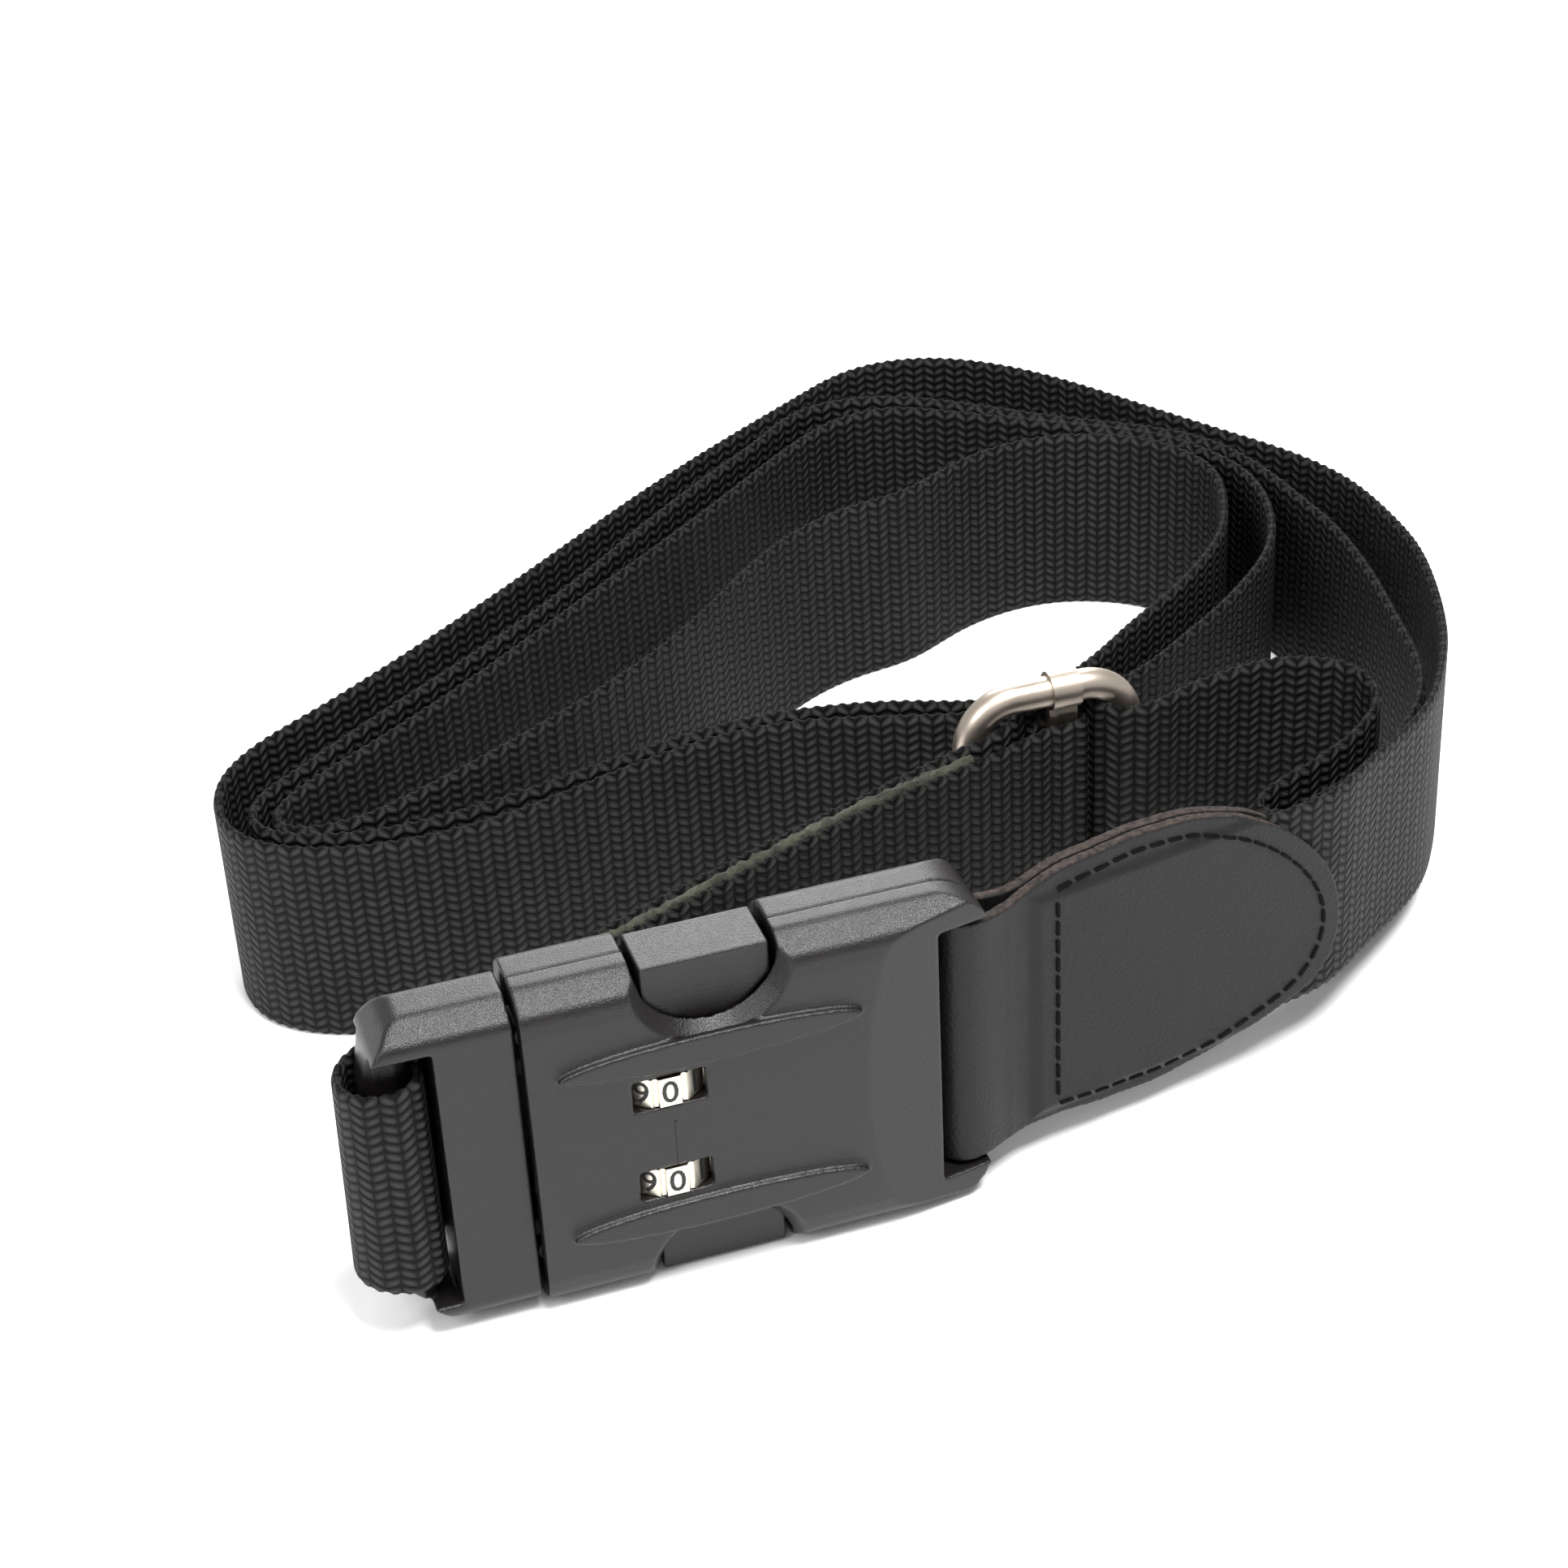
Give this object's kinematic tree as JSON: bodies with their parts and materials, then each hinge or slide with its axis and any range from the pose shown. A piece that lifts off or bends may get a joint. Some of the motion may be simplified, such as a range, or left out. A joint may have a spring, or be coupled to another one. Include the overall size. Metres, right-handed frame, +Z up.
{
  "type": "luggage strap",
  "caption": "Coiled luggage strap of woven webbing with a combination-lock side-release buckle, a wire slider and a stitched leather end patch.",
  "frame": {"origin": "on the table under the middle of the coiled strap", "axes": "+Z up, +X along the buckle towards the leather patch, +Y away from the buckle's face into the coil"},
  "size_m": [0.2262, 0.2198, 0.057],
  "materials": {
    "webbing": "matte coarse woven",
    "lining": "fuzzy felt-like",
    "housing": "fine grained satin, glossier bevels",
    "inner_plastic": "plain",
    "dials": "pale satin",
    "spring_steel": "bright",
    "slider_metal": "satin champagne nickel",
    "leather": "smooth fine grain",
    "thread": "waxed thread"
  },
  "bodies": {
    "female": {"female_front_shell": "housing", "female_back_shell": "housing", "shell_screws": "spring_steel", "dial_spindle": "spring_steel", "detent_spring": "spring_steel", "lock_spring": "spring_steel", "leather_patch": "leather", "leather_stitching": "thread", "webbing_leather_end": "webbing", "webbing_outer_back": "webbing", "webbing_outer_front": "webbing", "webbing_centre_back": "webbing", "webbing_inner_loop": "webbing", "webbing_inner_front": "webbing", "webbing_middle_back": "webbing", "webbing_tail_turn": "webbing"},
    "male": {"male_frame": "housing", "webbing_bar_loop": "webbing", "webbing_rear_layer": "webbing", "webbing_front_layer": "webbing", "lining_strip": "lining"},
    "arm_lower": {"release_arm_lower": "housing"},
    "arm_upper": {"release_arm_upper": "housing"},
    "dial_low": {"dial_lower": "dials", "sleeve_lower": "inner_plastic"},
    "dial_high": {"dial_upper": "dials", "sleeve_upper": "inner_plastic"},
    "plate": {"lock_plate": "spring_steel"},
    "slider": {"slider_ring": "slider_metal", "slider_bar": "slider_metal", "webbing_sewn_fold": "webbing", "webbing_slider_pass": "webbing"}
  },
  "joints": [
    {"name": "male_slide", "type": "slide", "parent": "female", "child": "male", "axis": [-1, 0, 0], "range_m": [0, 0.042], "deforming": ["release_arm_lower", "release_arm_upper"]},
    {"name": "arm_lower_squeeze", "type": "hinge", "parent": "male", "child": "arm_lower", "pos_m": [-0.0827, -0.1007, 0.0085], "axis": [0, -1, 0], "range_deg": [0, 9], "stiffness_Nm_per_rad": 0.6},
    {"name": "arm_upper_squeeze", "type": "hinge", "parent": "male", "child": "arm_upper", "pos_m": [-0.0827, -0.1007, 0.0485], "axis": [0, 1, 0], "range_deg": [0, 9], "stiffness_Nm_per_rad": 0.6},
    {"name": "dial_lower_turn", "type": "hinge", "parent": "female", "child": "dial_low", "pos_m": [-0.0634, -0.1025, 0.0202], "axis": [0, 0, 1], "continuous": true},
    {"name": "dial_upper_turn", "type": "hinge", "parent": "female", "child": "dial_high", "pos_m": [-0.0634, -0.1025, 0.0368], "axis": [0, 0, 1], "continuous": true},
    {"name": "lock_plate_slide", "type": "slide", "parent": "female", "child": "plate", "axis": [1, 0, 0], "range_m": [0, 0.002], "stiffness_N_per_m": 200, "deforming": ["lock_spring"]},
    {"name": "slider_travel", "type": "slide", "parent": "male", "child": "slider", "axis": [1, 0, 0], "range_m": [0, 0.012], "deforming": ["webbing_slider_pass"]}
  ]
}
